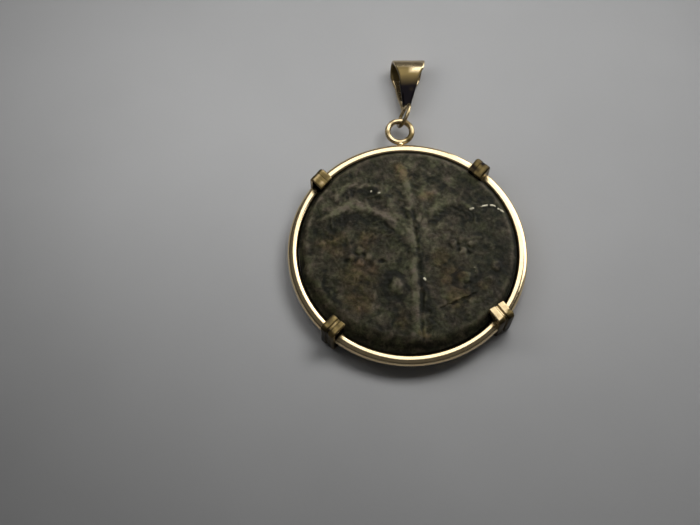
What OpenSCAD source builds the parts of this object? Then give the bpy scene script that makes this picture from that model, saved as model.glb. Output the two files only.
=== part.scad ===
// Coin pendant lying face up. An old bronze coin sits in a round wire ring and is held by four
// claws of doubled strip. A small loop stands on the ring, and a folded bail hangs in it by a
// soldered link. The loop points to +Y, the claws' feet rest on z = 0, and sizes are in millimetres.

/* [Coin] */
// Coin's diameter
coin_d = 24.8; // [22:0.1:28]
// Coin's thickness over its highest relief
coin_t = 3.2; // [2.6:0.1:4]
// Height of the relief over the field
relief_h = 0.35; // [0.1:0.05:0.5]
// How unevenly the field is worn
wear_h = 0.05; // [0:0.01:0.08]
// Width of the worn bevel where it is narrowest
bevel_narrow = 0.6; // [0.4:0.1:1.2]
// Width of the worn bevel where it is widest
bevel_wide = 1.9; // [1.2:0.1:2.6]
// Direction of the widest bevel, counted from +X
bevel_side = 245; // [180:5:300]
// Fall of the bevel where it is narrowest
bevel_fall = 0.5; // [0.3:0.05:0.8]
// Further fall where the bevel is widest
bevel_more_fall = 0.55; // [0:0.05:0.6]
// How far the coin's outline is out of round
out_of_round = 0.1; // [0:0.02:0.3]
// Width of the worn bevel on the back
back_bevel = 0.8; // [0.4:0.1:1.5]

/* [Palm relief] */
// Width of the palm's trunk
trunk_w = 1.5; // [1:0.1:2.2]
// Width of the trunk's foot
trunk_foot_w = 3.2; // [2:0.1:4]
// Width of a frond's rib
frond_w = 0.9; // [0.6:0.1:1.4]
// Reach of the leaflets to each side of a frond
leaflet_reach = 1.3; // [0.8:0.1:1.8]
// Spacing of the leaflets along a frond
leaflet_pitch = 1.3; // [1:0.1:2]

/* [Ring] */
// Diameter of the ring's wire
ring_wire = 1.3; // [0.9:0.05:1.8]
// Gap between the coin and what holds it
coin_gap = 0.1; // [0.05:0.01:0.2]

/* [Claws] */
// Width of a claw
claw_w = 2; // [1.6:0.1:2.6]
// Thickness of a claw's strip
claw_t = 0.62; // [0.45:0.01:0.8]
// How far a claw reaches in over the coin's edge
claw_reach = 0.4; // [0.2:0.05:0.6]
// How deep a claw's leg is let into the ring's wire
claw_sink = 0.36; // [0.2:0.01:0.4]
// Outer radius of a claw's bends
claw_bend = 0.5; // [0.3:0.05:0.6]
// Width of the groove between a claw's two strands
groove_w = 0.22; // [0.1:0.02:0.3]
// Depth of that groove
groove_depth = 0.22; // [0.1:0.02:0.3]
// Turn of the four claws from the diagonals
claw_turn = 2.5; // [-10:0.5:10]

/* [Loop on the ring] */
// Loop's outer diameter
loop_d = 3.6; // [3:0.1:5]
// Diameter of the loop's wire
loop_wire = 0.7; // [0.5:0.05:0.9]
// Clear gap between ring and loop, which the solder bridges
loop_stand = 0.12; // [0.05:0.01:0.3]
// Diameter of the solder joint
solder_d = 0.8; // [0.5:0.05:1]

/* [Link] */
// Link's outer diameter
link_d = 3.3; // [3.1:0.1:4]
// Diameter of the link's wire
link_wire = 0.45; // [0.4:0.05:0.6]
// Gap between the link's wire and the loop's wire
link_gap = 0.1; // [0.06:0.01:0.15]
// Place round the loop where the link hangs, counted from the loop's top
link_place = 13; // [0:1:30]
// Turn of the link towards +X
link_turn = 18; // [0:1:25]
// Lean of the link, left side up
link_lean = 20; // [0:1:30]
// Rise of the link's middle over the loop's wire
link_rise = 21; // [0:1:30]
// How far the bail meets the link under its middle
link_dip = 13; // [0:1:20]

/* [Bail] */
// Bail's width at the top of its fold
bail_w = 3.8; // [3:0.1:6]
// Bail's width where the fold begins
bail_mid_w = 3.2; // [2:0.1:4]
// Bail's width at its tips
bail_tip_w = 1; // [0.8:0.1:1.6]
// Bail's length
bail_l = 6.6; // [5.5:0.1:9]
// Skew of the fold across the sheet
fold_skew = 8; // [0:1:12]
// Outer diameter of the bail's fold
fold_d = 3.6; // [2.6:0.1:4.2]
// Thickness of the bail's sheet
sheet_t = 0.45; // [0.3:0.05:0.6]
// Turn of the bail from +Y towards +X
bail_turn = 5; // [0:0.5:15]
// Lean of the bail, left side up
bail_lean = 7; // [0:0.5:15]
// Height of the lying bail over the surface
rest_gap = 0.03; // [0.01:0.01:0.1]

/* [Hidden] */

bronze = "#4a4433";
gold = "#d9b45f";

coin_r = coin_d/2;
ring_in_r = coin_r + coin_gap;
ring_r = ring_in_r + ring_wire/2;
ring_out_r = ring_in_r + ring_wire;

// Half the height of a claw, and so the height of the ring's mid-plane over the surface
claw_h = coin_t/2 + coin_gap + claw_t;
// How far the web of a claw goes into each strand
web_bite = 0.05;

loop_r = (loop_d - loop_wire)/2;
loop_y = ring_out_r + loop_stand + loop_d/2;
link_r = (link_d - link_wire)/2;

// Point of the loop's wire that the link hangs on, then the link's middle
hang_at = [loop_r*sin(link_place), loop_y + loop_r*cos(link_place), 0];
link_off = link_r - link_wire/2 - loop_wire/2 - link_gap;
link_at = hang_at + link_off*along_link(link_rise);

// Middle of the bail's tips, which end on the link's centre line
tip_at = link_at + link_r*along_link(-link_dip);
tip_t = link_wire + 2*sheet_t;
fold_r = fold_d/2;
fold_y = bail_l - fold_r;

// How far the fold's axis rises over its length and how far it runs towards +Y, each as a share
fold_rise = cos(fold_skew)*sin(bail_lean);
fold_run = sin(fold_skew)*cos(bail_turn) - cos(fold_skew)*cos(bail_lean)*sin(bail_turn);

// The fold's half height as it leans, and the slope that lays it on the surface
fold_half_h = half_span(fold_rise);
bail_slope = asin((fold_half_h + rest_gap - claw_h - tip_at[2])/fold_y);
bail_top_y = tip_at[1] + fold_y*cos(bail_slope)*cos(bail_turn) + half_span(fold_run);

// Middle of the whole length, which is the part's origin
middle_y = (bail_top_y - ring_out_r)/2;

// Claws, one row each: corner, skew in degrees, and shares of claw_reach, claw_w and claw_sink
CLAWS = [
    [44, 0, 1, 0.95, 1.5],
    [135.5, 0, 0.5, 1, 1.4],
    [224.5, 0, 1.15, 0.95, 0.9],
    [316, -18, 1, 1.03, 0.7]
];

// Palm's crown as shares of the coin's radius, and its fronds, one row each:
// tip and arch point as shares of the coin's radius, then a share of frond_w and of relief_h
CROWN = [0.06, 0.02];
FRONDS = [
    [[-0.02, 0.80], [0.08, 0.45], 1, 1],
    [[-0.64, 0.52], [-0.29, 0.97], 0.9, 0.8],
    [[-0.77, 0.30], [-0.40, 0.64], 1.1, 1],
    [[-0.66, 0.08], [-0.35, 0.36], 0.8, 0.6],
    [[0.17, 0.76], [0.19, 0.48], 0.9, 0.8],
    [[0.66, 0.34], [0.30, 0.64], 1, 0.9],
    [[0.60, 0.02], [0.33, 0.36], 0.8, 0.6]
];
FROND_STEPS = 8;

// Round bosses of the relief, one row each: middle and half sizes as shares of the coin's radius,
// then a share of relief_h
BOSSES = [
    [[-0.13, -0.37], [0.08, 0.11], 1],
    [[0.50, -0.32], [0.09, 0.07], 0.8],
    [[0.80, -0.21], [0.06, 0.07], 0.8],
    [[-0.45, -0.02], [0.05, 0.05], 0.7],
    [[-0.37, -0.09], [0.05, 0.05], 0.7],
    [[-0.44, -0.14], [0.05, 0.05], 0.7],
    [[-0.52, -0.09], [0.05, 0.05], 0.7],
    [[0.42, 0.02], [0.05, 0.05], 0.7],
    [[0.50, -0.06], [0.05, 0.05], 0.7],
    [[0.58, 0.01], [0.05, 0.05], 0.7],
    [[0.50, 0.08], [0.05, 0.05], 0.7]
];

// Rings of points across the coin's face, each with six more points than the one inside it
FACE_RINGS = 30;
EDGE_POINTS = 6*FACE_RINGS;

// Unit vector in the leaning link's plane that rises by the given angle
function along_link(rise) =
    let (side = sin(rise)*sin(link_lean), ahead = cos(rise))
    [
        side*cos(link_turn) + ahead*sin(link_turn),
        ahead*cos(link_turn) - side*sin(link_turn),
        sin(rise)*cos(link_lean)
    ];

// Half the room that the fold takes along a direction that its axis follows by the given share
function half_span(share) = bail_w/2*abs(share) + fold_r*sqrt(1 - share*share);

// Smooth step from 0 to 1
function smooth(x) = let (t = max(0, min(1, x))) t*t*(3 - 2*t);

// Round-topped ridge: 1 on its middle line and 0 from the given half width outwards
function ridge(d, half_w) = smooth(1 - abs(d)/half_w);

// Distance of a point from a straight piece, and how far along the piece it lies, from 0 to 1
function off_and_along(p, a, b) =
    let (ab = b - a, t = max(0, min(1, (p - a)*ab/(ab*ab)))) [norm(p - a - t*ab), t];

// Point on a frond, from the crown at t = 0 through its arch to its tip at t = 1
function on_frond(f, t) =
    coin_r*((1 - t)*(1 - t)*CROWN + 2*t*(1 - t)*f[1] + t*t*f[0]);

// Height of one frond: its rib, and leaflets that slant off it on both sides
function frond_z(f, p) =
    let (
        steps = [for (i = [0:FROND_STEPS]) on_frond(f, i/FROND_STEPS)],
        found = [for (i = [1:FROND_STEPS]) concat(off_and_along(p, steps[i - 1], steps[i]), i)],
        d = min([for (e = found) e[0]]),
        near = [for (e = found) if (e[0] == d) e][0],
        piece_l = norm(steps[near[2]] - steps[near[2] - 1]),
        along = (near[2] - 1 + near[1])*piece_l,
        leaf = 0.5 + 0.5*cos(360*(along - d)/leaflet_pitch),
        rib_z = ridge(d, frond_w*f[2]),
        leaf_z = 0.6*leaf*ridge(d, leaflet_reach)*smooth(along/leaflet_reach)
    )
    d > leaflet_reach ? 0 : relief_h*f[3]*max(rib_z, leaf_z);

// Height of the trunk, which widens to a foot at the coin's lower edge
function trunk_z(p) =
    let (
        down = CROWN[1]*coin_r - p[1],
        share = down/coin_r,
        half_w = trunk_w/2 + (trunk_foot_w - trunk_w)/2*smooth((share - 0.55)/0.4),
        middle_x = CROWN[0]*coin_r - 0.03*coin_r*share
    )
    down < 0 ? 0 : 0.9*relief_h*smooth(1.6*(1 - abs(p[0] - middle_x)/half_w));

// Height of one round boss
function boss_z(b, p) =
    let (q = p/coin_r - b[0]) relief_h*b[2]*smooth(1.5*(1 - norm([q[0]/b[1][0], q[1]/b[1][1]])));

// Height of the whole relief
function relief_z(p) = max(concat(
    [trunk_z(p)],
    [for (f = FRONDS) frond_z(f, p)],
    [for (b = BOSSES) boss_z(b, p)]
));

// Unevenness of the worn field, between -1 and 1
function wear(p) =
    let (q = p*360/coin_r)
    (sin(1.1*q[0] + 0.7*q[1]) + sin(0.5*q[0] - 1.3*q[1] + 40) + sin(1.9*q[0] + 0.3*q[1] + 110))/3;

// Share of the wide bevel at an angle round the coin
function bevel_share(a) = pow(0.5 + 0.5*cos(a - bevel_side), 2);
function bevel_w(a) = bevel_narrow + (bevel_wide - bevel_narrow)*bevel_share(a);
function bevel_drop(a) = bevel_fall + bevel_more_fall*bevel_share(a);

// Coin's outline, slightly out of round
function outline_r(a) = coin_r - out_of_round*(0.5 + 0.25*sin(2*a + 30) + 0.25*sin(3*a));

// Height of the coin's face over its mid-plane, at radius r and angle a
function face_z(r, a) =
    let (
        p = r*[cos(a), sin(a)],
        in_bevel = smooth(1 - (outline_r(a) - r)/bevel_w(a)),
        field = coin_t/2 - relief_h - wear_h
    )
    field + (1 - in_bevel)*(relief_z(p) + wear_h*wear(p)) - bevel_drop(a)*in_bevel;

// Points of one ring across the face
function face_ring(k) = [
    for (i = [0:max(1, 6*k) - 1])
        let (a = 360*i/max(1, 6*k), r = outline_r(a)*k/FACE_RINGS) [r*cos(a), r*sin(a), face_z(r, a)]
];

// Points of one ring on the back, drawn in from the outline
function back_ring(inset, z) = [
    for (i = [0:EDGE_POINTS - 1])
        let (a = 360*i/EDGE_POINTS, r = outline_r(a) - inset) [r*cos(a), r*sin(a), z]
];

// Index of point i on ring k of the face, counted round it
function face_at(k, i) = k == 0 ? 0 : 1 + 3*k*(k - 1) + i%(6*k);

// Faces between ring k - 1 and ring k, in six sectors
function ring_faces(k) = concat(
    [for (s = [0:5], j = [0:k - 1]) [
        face_at(k, s*k + j + 1), face_at(k, s*k + j), face_at(k - 1, s*(k - 1) + j)
    ]],
    k < 2 ? [] : [for (s = [0:5], j = [0:k - 2]) [
        face_at(k, s*k + j + 1), face_at(k - 1, s*(k - 1) + j), face_at(k - 1, s*(k - 1) + j + 1)
    ]]
);

// Faces of a band between two rings of EDGE_POINTS points, the first of them above the second
function band_faces(top, low) = [
    for (i = [0:EDGE_POINTS - 1], half = [0, 1])
        let (n = (i + 1)%EDGE_POINTS)
        half == 0 ? [top + i, top + n, low + i] : [top + n, low + n, low + i]
];

module coin() {
    back_z = -coin_t/2;
    side_z = back_z + bevel_fall;
    face_points = [for (k = [0:FACE_RINGS], p = face_ring(k)) p];
    first_side = len(face_points);
    first_back = first_side + EDGE_POINTS;
    rim = first_side - EDGE_POINTS;
    points = concat(face_points, back_ring(0, side_z), back_ring(back_bevel, back_z));
    faces = concat(
        [for (k = [1:FACE_RINGS], f = ring_faces(k)) f],
        band_faces(rim, first_side),
        band_faces(first_side, first_back),
        [[for (i = [0:EDGE_POINTS - 1]) first_back + i]]
    );
    color(bronze) placed() polyhedron(points, faces);
}

// Moves a piece modelled about the ring's centre to its place over the surface
module placed() {
    translate([0, -middle_y, claw_h]) children();
}

module torus(r, wire) {
    rotate_extrude($fn = 96) translate([r, 0]) circle(d = wire, $fn = 32);
}

// Side view of a claw: a leg outside the ring, a level foot under the coin, and a head that dips
// by the relief's height to the coin's field. The trim takes metal off its outer side, for the
// groove between the two strands.
module claw_side(in_r, out_r, trim) {
    leg_h = claw_h - claw_bend;
    arm_l = out_r - claw_bend - in_r;
    dip = asin(relief_h/arm_l);
    translate([out_r - claw_t, -leg_h]) square([claw_t - trim, 2*leg_h]);
    translate([out_r - claw_bend, -leg_h]) claw_arm(arm_l, trim);
    translate([out_r - claw_bend, leg_h])
        mirror([0, 1]) rotate(-dip) claw_arm(arm_l/cos(dip), trim);
}

// Arm of a claw from the middle of its bend inwards, with its outer side down
module claw_arm(arm_l, trim) {
    circle(claw_bend - trim, $fn = 32);
    translate([-arm_l, trim - claw_bend]) square([arm_l, claw_t - trim]);
}

// One claw: two strands side by side with a thinner web between them
module claw(reach, width, sink) {
    strand_w = (width - groove_w)/2;
    in_r = coin_r - reach;
    out_r = ring_out_r + claw_t - sink;
    rotate([90, 0, 0]) {
        for (side = [-1, 1])
            translate([0, 0, side*(groove_w + strand_w)/2])
                linear_extrude(strand_w, center = true) claw_side(in_r, out_r, 0);
        linear_extrude(groove_w + 2*web_bite, center = true) claw_side(in_r, out_r, groove_depth);
    }
}

module claws() {
    for (c = CLAWS)
        rotate([0, 0, c[0] + claw_turn])
            translate([ring_r, 0, 0]) rotate([0, 0, c[1]]) translate([-ring_r, 0, 0])
                claw(claw_reach*c[2], claw_w*c[3], claw_sink*c[4]);
}

// Small loop in the ring's plane, and the solder joint that carries it
module hanging_loop() {
    translate([0, loop_y, 0]) torus(loop_r, loop_wire);
    translate([0, ring_r, 0])
        rotate([-90, 0, 0]) cylinder(h = loop_y - loop_r - ring_r, d = solder_d, $fn = 32);
}

module frame() {
    color(gold) placed() {
        torus(ring_r, ring_wire);
        claws();
        hanging_loop();
    }
}

// Side view of the folded sheet, drawn in by inset: a round fold with two leaves that run
// straight to the tips at the origin
module fold_side(inset) {
    r = fold_r - inset;
    half_t = tip_t/2 - inset;
    far = norm([fold_y, half_t]);
    touch = 180 - atan2(half_t, fold_y) - acos(r/far);
    start = inset > 0 ? -1 : 0;
    slope = (r*sin(touch) - half_t)/(fold_y + r*cos(touch));
    translate([fold_y, 0]) circle(r, $fn = 64);
    polygon([
        [start, half_t + slope*start],
        [fold_y + r*cos(touch), r*sin(touch)],
        [fold_y + r*cos(touch), -r*sin(touch)],
        [start, -half_t - slope*start]
    ]);
}

// Front view of the folded sheet, wide at the fold and narrow at the tips
module fold_front() {
    polygon([
        [-bail_tip_w/2, 0], [bail_tip_w/2, 0], [bail_mid_w/2, fold_y],
        [bail_w/2, bail_l], [bail_w/2, bail_l + 1], [-bail_w/2, bail_l + 1],
        [-bail_w/2, bail_l], [-bail_mid_w/2, fold_y]
    ]);
}

module folded_sheet() {
    intersection() {
        translate([0, fold_y, 0]) rotate([90, 0, 90 + fold_skew]) translate([-fold_y, 0, 0])
            linear_extrude(2*bail_w, center = true) difference() {
                fold_side(0);
                fold_side(sheet_t);
            }
        linear_extrude(2*fold_d, center = true) fold_front();
    }
}

module bail() {
    color(gold) placed() {
        translate(link_at)
            rotate([0, link_lean, -link_turn]) rotate([0, 90, 0]) torus(link_r, link_wire);
        translate(tip_at)
            rotate([0, 0, -bail_turn]) rotate([bail_slope, 0, 0]) rotate([0, bail_lean, 0])
                folded_sheet();
    }
}

coin();
frame();
bail();
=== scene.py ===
from math import asin, atan2, cos, degrees, pi, radians, sin, sqrt

import bpy
import numpy as np
from mathutils import Matrix, Vector


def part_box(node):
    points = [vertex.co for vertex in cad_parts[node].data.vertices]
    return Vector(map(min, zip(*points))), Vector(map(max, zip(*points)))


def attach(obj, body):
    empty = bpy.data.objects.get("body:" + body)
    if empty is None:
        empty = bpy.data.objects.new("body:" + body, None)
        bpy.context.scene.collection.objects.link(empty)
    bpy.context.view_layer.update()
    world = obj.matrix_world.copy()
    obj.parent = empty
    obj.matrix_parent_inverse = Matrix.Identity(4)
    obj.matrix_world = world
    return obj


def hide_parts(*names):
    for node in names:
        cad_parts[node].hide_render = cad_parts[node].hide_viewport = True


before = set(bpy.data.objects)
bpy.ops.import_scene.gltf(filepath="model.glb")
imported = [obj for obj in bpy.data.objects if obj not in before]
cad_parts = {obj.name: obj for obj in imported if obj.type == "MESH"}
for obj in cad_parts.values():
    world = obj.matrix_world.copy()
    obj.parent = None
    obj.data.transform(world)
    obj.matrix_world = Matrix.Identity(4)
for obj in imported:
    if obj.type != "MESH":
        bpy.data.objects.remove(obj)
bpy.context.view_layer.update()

MM = 0.001

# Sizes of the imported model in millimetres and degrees, with the names that part.scad gives them.
# The coin
COIN_R = 12.4
COIN_T = 3.2
RELIEF_H = 0.35
WEAR_H = 0.05
BEVEL_NARROW = 0.6
BEVEL_WIDE = 1.9
BEVEL_SIDE = 245
BEVEL_FALL = 0.5
BEVEL_MORE_FALL = 0.55
OUT_OF_ROUND = 0.1
BACK_BEVEL = 0.8

# The palm on it
TRUNK_W = 1.5
TRUNK_FOOT_W = 3.2
FROND_W = 0.9
LEAFLET_REACH = 1.3

# Ring and claws
RING_WIRE = 1.3
COIN_GAP = 0.1
CLAW_W = 2.0
CLAW_T = 0.62
CLAW_REACH = 0.4
CLAW_SINK = 0.36
CLAW_BEND = 0.5
CLAW_TURN = 2.5
GROOVE_W = 0.22
GROOVE_DEPTH = 0.22

# Loop and link
LOOP_D = 3.6
LOOP_WIRE = 0.7
LOOP_STAND = 0.12
SOLDER_D = 0.8
LINK_D = 3.3
LINK_WIRE = 0.45
LINK_GAP = 0.1
LINK_PLACE = 13
LINK_TURN = 18
LINK_LEAN = 20
LINK_RISE = 21
LINK_DIP = 13

# Bail
BAIL_W = 3.8
BAIL_MID_W = 3.2
BAIL_TIP_W = 1.0
BAIL_L = 6.6
BAIL_TURN = 5
BAIL_LEAN = 7
FOLD_SKEW = 8
FOLD_D = 3.6
SHEET_T = 0.45
REST_GAP = 0.03

# What follows from these sizes
FIELD_Z = COIN_T/2 - RELIEF_H - WEAR_H
RING_R = COIN_R + COIN_GAP + RING_WIRE/2
RING_OUT_R = RING_R + RING_WIRE/2
CLAW_H = COIN_T/2 + COIN_GAP + CLAW_T
LOOP_R = (LOOP_D - LOOP_WIRE)/2
LOOP_Y = RING_OUT_R + LOOP_STAND + LOOP_D/2
LINK_R = (LINK_D - LINK_WIRE)/2
FOLD_R = FOLD_D/2
FOLD_Y = BAIL_L - FOLD_R

# Ring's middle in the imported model's frame, in millimetres
frame_low, frame_high = (np.array(corner)/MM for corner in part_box("frame"))
RING_MIDDLE = np.array([0, frame_low[1] + RING_OUT_R, (frame_low[2] + frame_high[2])/2])

# Camera as it was fitted to the photograph, in the ring's frame
CAMERA_TURN = -2.2
CAMERA_RISE = 67.35
CAMERA_AWAY = 120
CAMERA_AIM = (-6.61, -1.42, 0)
CAMERA_CLIP = (0.002, 20)
FOCAL_PIXELS = 1048
IMAGE_WIDTH = 700
SENSOR_MM = 36

# Lights in the ring's frame, one row each: name, middle, the direction that the light comes from, half
# its width and height, radiance, and how far it is spun about that direction. The lamps show in matt
# reflection alone, and the others in shiny reflection alone
ROOM_GLOW = 0.045
LAMPS = [
    ("right_lamp", (27, 25.3, 85.5), (0.151, 0.002, 0.988), (19.1, 26.3), 6.6, -5.7),
    ("left_lamp", (-28.7, 21.5, 48.1), (-0.344, -0.481, 0.806), (21.9, 25.1), 1.64, -13.6),
]
SHINES = [
    ("screen_shine", (17.2, 30.1, 40.8), (-0.57, 0.47, 0.85), (36.1, 28.2), 2.0, -17),
    ("window_shine", (124.3, 84.8, 22.8), (0.59, 0.64, 0.03), (92.4, 132.4), 3.0, 7.7),
    ("backdrop_shine", (0, 300, 125), (0, 1, 0.03), (250, 125), 0.07, 0),
    ("room_shine", (0, 0, 260), (0, 0.02, 1), (500, 500), ROOM_GLOW, 0),
]

# Half the side of the square floor, in metres
FLOOR_HALF = 2.0

# Colours of the patina by tone, from the deepest hollows and painted shade to the palest relief
PATINA = [
    (0.0, (0.008, 0.008, 0.004)),
    (0.3, (0.028, 0.026, 0.013)),
    (0.6, (0.064, 0.058, 0.031)),
    (1.0, (0.142, 0.128, 0.074)),
]

# Tints that multiply the patina in patches, and the metal where it is chipped
GREENER = (0.87, 0.97, 0.90)
REDDER = (1.05, 0.93, 1.18)
EARTHY = (1.22, 0.98, 0.72)
BARE_BRONZE = (0.42, 0.39, 0.29)

# Golds, the tint of the thin film on them, and the colours of tarnish and painted shade, brown and then
# black
RING_GOLD = (0.82, 0.65, 0.39)
SHEET_GOLD = (0.78, 0.62, 0.38)
THIN_FILM = (0.74, 0.62, 0.48)
BROWN_TARNISH_AND_SHADE = (0.13, 0.094, 0.036)
BLACK_TARNISH_AND_SHADE = (0.004, 0.003, 0.004)
GOLD_ROUGHNESS = 0.17

# Greys of the floor's paper
PAPER = [(0.3, (0.50, 0.50, 0.50)), (0.7, (0.54, 0.54, 0.54))]

# Random values repeat after this many cells, and the shift in millimetres picks the part in use
NOISE_CELLS = 64
NOISE_SHIFT = 50


# Tools

def turn(axis, angle):
    return np.array(Matrix.Rotation(radians(angle), 3, axis))


def in_model_frame(points):
    return (np.asarray(points) + RING_MIDDLE)*MM


def smooth(x):
    t = np.clip(x, 0, 1)
    return t*t*(3 - 2*t)


def ridge(distance, half_w):
    return smooth(1 - np.abs(distance)/half_w)


def noise(points, cell, seed, shift=NOISE_SHIFT):
    """Smooth random values between -1 and 1 at two- or three-dimensional points."""
    table = np.random.default_rng(seed).uniform(-1, 1, (NOISE_CELLS, NOISE_CELLS, NOISE_CELLS))
    q = (np.asarray(points, float) + shift)/cell
    if q.shape[1] == 2:
        q = np.column_stack([q, np.full(len(q), 0.5)])
    base = np.floor(q).astype(int)
    share = smooth(q - base)
    total = np.zeros(len(q))
    for corner in np.ndindex(2, 2, 2):
        at = (base + corner) % NOISE_CELLS
        weight = np.prod(np.where(corner, share, 1 - share), axis=1)
        total += weight*table[at[:, 0], at[:, 1], at[:, 2]]
    return total


def ragged(points, reach, cell, seed, shift=NOISE_SHIFT):
    """Points moved at random, by up to reach along each axis."""
    axes = range(np.shape(points)[1])
    return points + reach*np.column_stack([noise(points, cell, seed + k, shift) for k in axes])


def rounded(r):
    """Points of a rounded edge, from its side to its face: how far in from the side, then the face."""
    return [(r*(1 - cos(t)), r*(1 - sin(t))) for t in np.linspace(0, pi/2, 5)]


def left_of(steps):
    """Unit vectors square to each step, on its left."""
    lengths = np.maximum(np.linalg.norm(steps, axis=1), 1e-9)
    return np.column_stack([-steps[:, 1], steps[:, 0]])/lengths[:, None]


def grid_faces(rows, cols, closed_rows=False):
    """Faces of a grid of points whose columns go round and whose rows may close too."""
    faces = []
    for i in range(rows if closed_rows else rows - 1):
        for j in range(cols):
            a = i*cols
            b = (i + 1) % rows*cols
            n = (j + 1) % cols
            faces.append((a + j, a + n, b + n, b + j))
    return faces


def capped(rows, cols):
    """Faces of a grid whose first and last rows are closed off."""
    faces = grid_faces(rows, cols)
    faces.append(tuple(reversed(range(cols))))
    faces.append(tuple(range((rows - 1)*cols, rows*cols)))
    return faces


def torus(r, wire, around, across, uneven, seed):
    """Points and faces of a wire ring in the xy plane, its wire thinned by up to the share uneven."""
    a = np.repeat(np.arange(around)*2*pi/around, across)
    b = np.tile(np.arange(across)*2*pi/across, around)
    spine = r*np.column_stack([np.cos(a), np.sin(a), np.zeros_like(a)])
    wire_r = wire/2*(1 - uneven*(0.5 + 0.5*noise(spine, 2.6, seed, shift=40)))
    out = r + wire_r*np.cos(b)
    points = np.column_stack([out*np.cos(a), out*np.sin(a), wire_r*np.sin(b)])
    return points, grid_faces(around, across, closed_rows=True)


class Shells:
    """Closed surfaces gathered into one mesh, with the tarnish and painted shade at each of their points.
    """

    def __init__(self):
        self.points = np.zeros((0, 3))
        self.faces = []
        self.dirt = np.zeros(0)

    def add(self, points, faces, dirt=0):
        start = len(self.points)
        self.faces += [tuple(start + i for i in face) for face in faces]
        self.points = np.vstack([self.points, points])
        self.dirt = np.concatenate([self.dirt, np.broadcast_to(dirt, len(points))])


def add_piece(name, points, faces, material, slot, node, **attributes):
    """Smooth-shaded piece that replaces a node, from points in millimetres in the ring's frame."""
    mesh = bpy.data.meshes.new(name)
    mesh.from_pydata(in_model_frame(points).tolist(), [], faces)
    mesh.polygons.foreach_set("use_smooth", [True]*len(mesh.polygons))
    for key, values in attributes.items():
        layer = mesh.attributes.new(key, "FLOAT", "POINT")
        layer.data.foreach_set("value", np.asarray(values, np.float32))
    mesh.materials.append(material)
    mesh.update()
    piece = bpy.data.objects.new(name, mesh)
    bpy.context.collection.objects.link(piece)
    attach(piece, "root")
    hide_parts(node)


# Materials

class Material:
    """A Principled material whose nodes are added one line at a time."""

    def __init__(self, name):
        self.data = bpy.data.materials.new(name)
        self.data.use_nodes = True
        self.tree = self.data.node_tree
        self.shader = self.tree.nodes["Principled BSDF"]
        self.place = self.tree.nodes.new("ShaderNodeTexCoord").outputs["Object"]

    def node(self, kind, **values):
        node = self.tree.nodes.new(kind)
        for key, value in values.items():
            setattr(node, key, value)
        return node

    def link(self, source, target):
        self.tree.links.new(source, target)

    def feed(self, socket, source):
        self.link(source, self.shader.inputs[socket])

    def set(self, socket, value):
        self.shader.inputs[socket].default_value = value

    def attribute(self, name):
        return self.node("ShaderNodeAttribute", attribute_name=name).outputs["Fac"]

    def noise(self, size_mm, detail=4, roughness=0.55, stretch=(1, 1, 1), distortion=0):
        """Noise texture whose largest grains are about size_mm across."""
        texture = self.node("ShaderNodeTexNoise")
        texture.inputs["Scale"].default_value = 1
        texture.inputs["Detail"].default_value = detail
        texture.inputs["Roughness"].default_value = roughness
        texture.inputs["Distortion"].default_value = distortion
        mapping = self.node("ShaderNodeMapping")
        scale = 1/(size_mm*MM)
        mapping.inputs["Scale"].default_value = [scale*s for s in stretch]
        self.link(self.place, mapping.inputs["Vector"])
        self.link(mapping.outputs["Vector"], texture.inputs["Vector"])
        return texture.outputs["Fac"]

    def ramp(self, source, stops):
        """Colour ramp with stops of (position, colour)."""
        ramp = self.node("ShaderNodeValToRGB")
        elements = ramp.color_ramp.elements
        while len(elements) < len(stops):
            elements.new(0.5)
        for element, (position, colour) in zip(elements, stops):
            element.position = position
            element.color = (*colour, 1)
        self.link(source, ramp.inputs["Fac"])
        return ramp.outputs["Color"]

    def remap(self, source, low, high, to_low=0, to_high=1):
        node = self.node("ShaderNodeMapRange")
        node.inputs["From Min"].default_value = low
        node.inputs["From Max"].default_value = high
        node.inputs["To Min"].default_value = to_low
        node.inputs["To Max"].default_value = to_high
        self.link(source, node.inputs["Value"])
        return node.outputs["Result"]

    def math(self, operation, a, b):
        node = self.node("ShaderNodeMath", operation=operation)
        self.link(a, node.inputs[0])
        self.link(b, node.inputs[1])
        return node.outputs[0]

    def mix(self, share, a, b, blend="MIX"):
        """Mix of two colours, each a tuple or a socket, by a number or a socket."""
        node = self.node("ShaderNodeMix", data_type="RGBA", blend_type=blend)
        for socket, value in zip((node.inputs[0], node.inputs[6], node.inputs[7]), (share, a, b)):
            if isinstance(value, tuple):
                socket.default_value = (*value, 1)
            elif isinstance(value, (int, float)):
                socket.default_value = value
            else:
                self.link(value, socket)
        return node.outputs[2]

    def tinted(self, colour, tint):
        return self.mix(1.0, colour, tint, "MULTIPLY")

    def bump(self, height, distance_mm, under=None):
        node = self.node("ShaderNodeBump")
        node.inputs["Strength"].default_value = 1
        node.inputs["Distance"].default_value = distance_mm*MM
        self.link(height, node.inputs["Height"])
        if under is not None:
            self.link(under, node.inputs["Normal"])
        self.feed("Normal", node.outputs["Normal"])
        return node.outputs["Normal"]


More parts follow.
